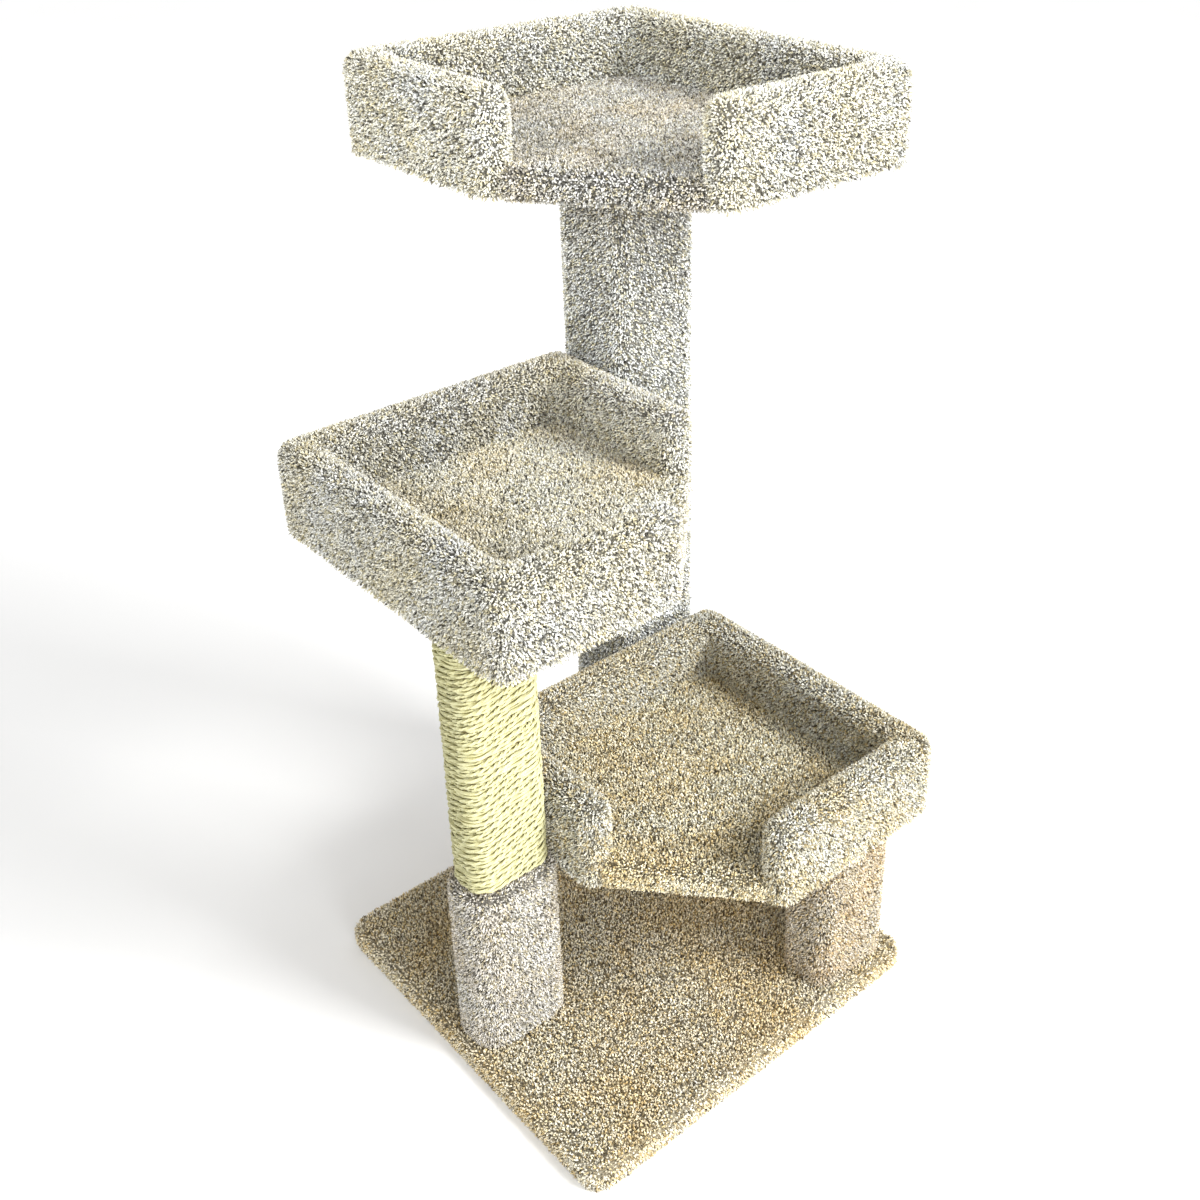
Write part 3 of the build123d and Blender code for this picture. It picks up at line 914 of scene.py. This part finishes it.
def windingPath(node):
    # points along the rope's middle and the way out from the post at each; the rope is level on
    # three faces and climbs on the fourth, and odd legs are the corners
    low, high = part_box(node)
    coreLow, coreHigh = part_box("front_core")
    middle = (coreLow + coreHigh) / 2
    out = sisalSet["rope"] / 2 + sisalSet["fit"]
    bend = sisalSet["coreCorner"] + out
    ropeX, ropeY = (coreHigh.x - coreLow.x) / 2 + out, (coreHigh.y - coreLow.y) / 2 + out
    runX, runY = ropeX - bend, ropeY - bend
    turns = sisalSet["turns"]
    pitch = (high.z - low.z - sisalSet["rope"]) / turns
    quarter = bend * math.pi / 2
    legs = [runY, quarter, 2 * runX, quarter, 2 * runY, quarter, 2 * runX, quarter, runY]
    around = sum(legs)
    count = int(around * turns / sisalSet["step"])
    points, outs = [], []
    for number in range(count + 1):
        along = around * turns * number / count
        turn = min(int(along / around), turns - 1)
        left, leg = along - turn * around, 0
        while leg < len(legs) - 1 and left > legs[leg]:
            left -= legs[leg]
            leg += 1
        share = left / legs[leg]
        eased = share * share * (3 - 2 * share)
        climbed = 0 if leg < 2 else 1 if leg > 2 else eased      # the third leg climbs
        z = low.z + sisalSet["rope"] / 2 + (turn + climbed) * pitch
        if leg % 2:
            angle = math.radians(90 * (leg // 2) + 90 * share)
            away = Vector((math.cos(angle), math.sin(angle), 0))
            signX, signY = ((1, 1), (-1, 1), (-1, -1), (1, -1))[leg // 2]
            spot = Vector((signX * runX, signY * runY, 0)) + away * bend
        else:
            spot, away = {
                0: (Vector((ropeX, left, 0)), Vector((1, 0, 0))),
                2: (Vector((runX - left, ropeY, 0)), Vector((0, 1, 0))),
                4: (Vector((-ropeX, runY - left, 0)), Vector((-1, 0, 0))),
                6: (Vector((-runX + left, -ropeY, 0)), Vector((0, -1, 0))),
                8: (Vector((ropeX, -runY + left, 0)), Vector((1, 0, 0))),
            }[leg]
        points.append(Vector((middle.x + spot.x, middle.y + spot.y, z)))
        outs.append(away)
    return np.array(points), np.array(outs)


def makeSisal(node, name, seed, material):
    points, outs = windingPath(node)
    draw = np.random.default_rng(seed)
    ups = np.tile((0.0, 0.0, 1.0), (len(points), 1))
    lengths = np.concatenate([[0], np.cumsum(np.linalg.norm(np.diff(points, axis=0), axis=1))])
    sides, radius = 2 * sisalSet["lobes"], sisalSet["strand"] / 2
    offset = sisalSet["rope"] / 2 - radius + sisalSet["press"]
    strands, edge = sisalSet["strands"], sisalSet["mapEdge"]

    def knots(count):
        return np.linspace(0, lengths[-1], count)

    drawn = np.cumsum(draw.normal(size=sisalSet["looseKnots"])) * sisalSet["loose"]
    uneven = np.interp(lengths, knots(sisalSet["looseKnots"]), drawn)
    corners, faces, uvs, crests = [], [], [], []
    for strand in range(strands):
        twist = 2 * math.pi * (lengths / sisalSet["lay"] + strand / strands) + uneven
        thick = draw.normal(size=sisalSet["wobbleKnots"])
        wobble = 1 + sisalSet["wobble"] * np.interp(lengths, knots(sisalSet["wobbleKnots"]), thick)
        spot = points + offset * (np.cos(twist)[:, None] * outs + np.sin(twist)[:, None] * ups)
        first = len(corners)
        for side in range(sides):
            angle = 2 * math.pi * side / sides + sisalSet["yarnTwist"] * twist
            deep = sisalSet["groove"] if side % 2 else 1.0
            ring = spot + (radius * deep * wobble)[:, None] * (
                np.cos(angle)[:, None] * outs + np.sin(angle)[:, None] * ups)
            corners.extend(ring.tolist())
            crests.append(np.linalg.norm(ring - points, axis=1) / (sisalSet["rope"] / 2))
        rings = len(points)
        for side in range(sides):
            a, b = first + side * rings, first + (side + 1) % sides * rings
            faces.extend((a + i, a + i + 1, b + i + 1, b + i) for i in range(rings - 1))
            strip = strand * sides + side
            u0, u1 = ((strip + place) / (strands * sides) for place in (edge, 1 - edge))
            v = np.linspace(0, 1, rings)
            for i in range(rings - 1):
                uvs.extend(((u0, v[i]), (u0, v[i + 1]), (u1, v[i + 1]), (u1, v[i])))
        faces.append(tuple(first + side * rings for side in range(sides)))
        faces.append(tuple(first + (side + 1) * rings - 1 for side in reversed(range(sides))))
        middle = (strand + 0.5) / strands
        uvs.extend([(middle, 0.0)] * sides + [(middle, 1.0)] * sides)
    mesh = bpy.data.meshes.new(name)
    mesh.from_pydata(corners, [], faces)
    layer = mesh.uv_layers.new(name="strandMap")
    layer.data.foreach_set("uv", np.array(uvs, np.float32).ravel())
    crest = mesh.attributes.new("crest", "FLOAT", "POINT")
    crest.data.foreach_set("value", np.concatenate(crests).astype(np.float32))
    rope = bpy.data.objects.new(name, mesh)
    bpy.context.scene.collection.objects.link(rope)
    openEdit(rope)
    outwardNormals()
    closeEdit()
    bpy.ops.object.shade_smooth_by_angle(angle=math.radians(sisalSet["smoothAngle"]))
    mesh.materials.append(material)
    dress(rope, "sisal_rope", node)
    print(name, round(lengths[-1], 3), "m of rope,", len(mesh.polygons), "faces")


sisalTones = [
    (0.28, (0.45, 0.40, 0.19)),
    (0.45, (0.635, 0.615, 0.365)),
    (0.62, (0.70, 0.70, 0.47)),
    (0.8, (0.78, 0.78, 0.625)),
]
# painted shade, from dark in the hollows between strands out to none on their crests
hollowShadeTones = [
    (0.42, (0.12, 0.10, 0.05)),
    (0.56, (0.62, 0.59, 0.44)),
    (0.68, white),
]


def sisalMaterial():
    material, nodes, links, shader = newMaterial("sisalRope")
    fine = noiseNode(nodes, links, 900.0, 2.0)
    broad = noiseNode(nodes, links, 40.0, 3.0)
    straw = rampNode(nodes, links, fine, sisalTones)
    straw = mixNode(nodes, links, "MULTIPLY", broad, straw, (0.95, 0.93, 0.80))
    # painted shade in the hollows, by how far a point lies from the rope's middle
    hollowShade = rampNode(nodes, links, attributeNode(nodes, "crest"), hollowShadeTones)
    straw = mixNode(nodes, links, "MULTIPLY", 1.0, straw, hollowShade)
    links.new(straw, shader.inputs["Base Color"])
    shader.inputs["Roughness"].default_value = 0.75
    shader.inputs["Specular IOR Level"].default_value = 0.3
    bumpNode(nodes, links, shader, fine, 0.5, 0.0006)
    return material


sisal = sisalMaterial()
makeSisal("sisal_lower", "sisalLower", sisalSet["seed"], sisal)
makeSisal("sisal_upper", "sisalUpper", sisalSet["seed"] + 1, sisal)


# boards, cores and screws are the nodes themselves, with wood and steel
def woodMaterial(name, light, dark, stretch, scale):
    material, nodes, links, shader = newMaterial(name)
    grain = noiseNode(nodes, links, scale, 6.0, stretch)
    between = tuple(0.5 * (a + b) for a, b in zip(light, dark))
    colour = rampNode(nodes, links, grain, [(0.32, dark), (0.5, light), (0.7, between)])
    blotch = noiseNode(nodes, links, 9.0, 3.0)
    colour = mixNode(nodes, links, "MULTIPLY", blotch, colour, (0.90, 0.86, 0.80))
    links.new(colour, shader.inputs["Base Color"])
    shader.inputs["Roughness"].default_value = 0.62
    bumpNode(nodes, links, shader, grain, 0.25, 0.0005)
    return material


def steelMaterial():
    material, nodes, links, shader = newMaterial("screwSteel")
    scratch = noiseNode(nodes, links, 400.0, 4.0)
    colour = rampNode(nodes, links, scratch, [(0.3, (0.42, 0.42, 0.43)), (0.7, (0.62, 0.62, 0.63))])
    links.new(colour, shader.inputs["Base Color"])
    shader.inputs["Metallic"].default_value = 1.0
    shader.inputs["Roughness"].default_value = 0.38
    return material


# light and dark tone, how the grain is drawn out along X, Y and Z, and its scale
plywood = woodMaterial("plywood", (0.72, 0.55, 0.36), (0.52, 0.36, 0.21), (3.0, 42.0, 42.0), 3.0)
timber = woodMaterial("postTimber", (0.76, 0.60, 0.40), (0.58, 0.41, 0.24), (40.0, 40.0, 3.0), 2.5)
wallBoard = woodMaterial("wallBoard", (0.75, 0.60, 0.42), (0.58, 0.42, 0.26), (30.0, 30.0, 60.0), 2.0)
steel = steelMaterial()
for nodeName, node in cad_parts.items():
    if nodeName.endswith("_screws"):
        finish = steel
    elif nodeName.endswith("_core"):
        finish = timber
    elif "_wall_" in nodeName:
        finish = wallBoard
    elif nodeName.endswith("_floor") or nodeName == "base_board":
        finish = plywood
    else:
        continue
    node.data.materials.clear()
    node.data.materials.append(finish)
print("boards, cores and screws finished")

bpy.data.objects.remove(tuftShape)


stageSet = {
    "floorSize": 30,
    "dome": 0.72,
    "floorTones": [(0.3, (0.93, 0.93, 0.925)), (0.7, (0.955, 0.955, 0.95))],
    "floorGlow": (0.07, 0.30),   # painted light: how strongly the floor glows near the tree and far off
    "glowReach": (0.6, 2.6),     # where near ends and far off begins
    "lights": {              # place, what it points at, size in metres, spread in degrees, watts
        "keyLight": ((1.2, -2.75, 2.8), (0, 0, 0.7), 1.4, 180, 178),
        "fillLight": ((-2.4, -0.3, 2.2), (0.1, 0.1, 1.3), 0.6, 38, 2.5),
        "frontLight": ((-0.9, -2.7, 0.6), (0, 0, 0.3), 1.0, 70, 7),
    },
}


def makeStage():
    deselectAll()
    bpy.ops.mesh.primitive_plane_add(size=stageSet["floorSize"])
    floor = bpy.context.object
    floor.name = "paleFloor"
    material, nodes, links, shader = newMaterial("paleFloor")
    mottled = rampNode(nodes, links, noiseNode(nodes, links, 2.0), stageSet["floorTones"])
    links.new(mottled, shader.inputs["Base Color"])
    shader.inputs["Roughness"].default_value = 0.9
    # painted light: the floor glows more the further it lies from the tree, so that its shade fades
    # to white
    shader.inputs["Emission Color"].default_value = (1, 1, 1, 1)
    away = nodes.new("ShaderNodeVectorMath")
    away.operation = "LENGTH"
    links.new(nodes.new("ShaderNodeTexCoord").outputs["Object"], away.inputs[0])
    glow = nodes.new("ShaderNodeMapRange")
    links.new(away.outputs["Value"], glow.inputs["Value"])
    for ends, values in (("From", stageSet["glowReach"]), ("To", stageSet["floorGlow"])):
        for end, value in zip(("Min", "Max"), values):
            glow.inputs[ends + " " + end].default_value = value
    links.new(glow.outputs["Result"], shader.inputs["Emission Strength"])
    floor.data.materials.append(material)

    world = bpy.data.worlds.new("softDome")
    world.use_nodes = True
    dome = world.node_tree.nodes["Background"]
    dome.inputs["Color"].default_value = (1, 1, 1, 1)
    dome.inputs["Strength"].default_value = stageSet["dome"]
    bpy.context.scene.world = world

    for name, (place, aim, size, spread, watts) in stageSet["lights"].items():
        bpy.ops.object.light_add(type="AREA", location=place)
        light = bpy.context.object
        light.name = name
        light.data.energy = watts
        light.data.size = size
        light.data.spread = math.radians(spread)
        light.rotation_mode = "QUATERNION"
        light.rotation_quaternion = (Vector(aim) - light.location).to_track_quat("-Z", "Y")


makeStage()
bpy.context.scene.view_settings.view_transform = "Standard"
bpy.context.view_layer.update()
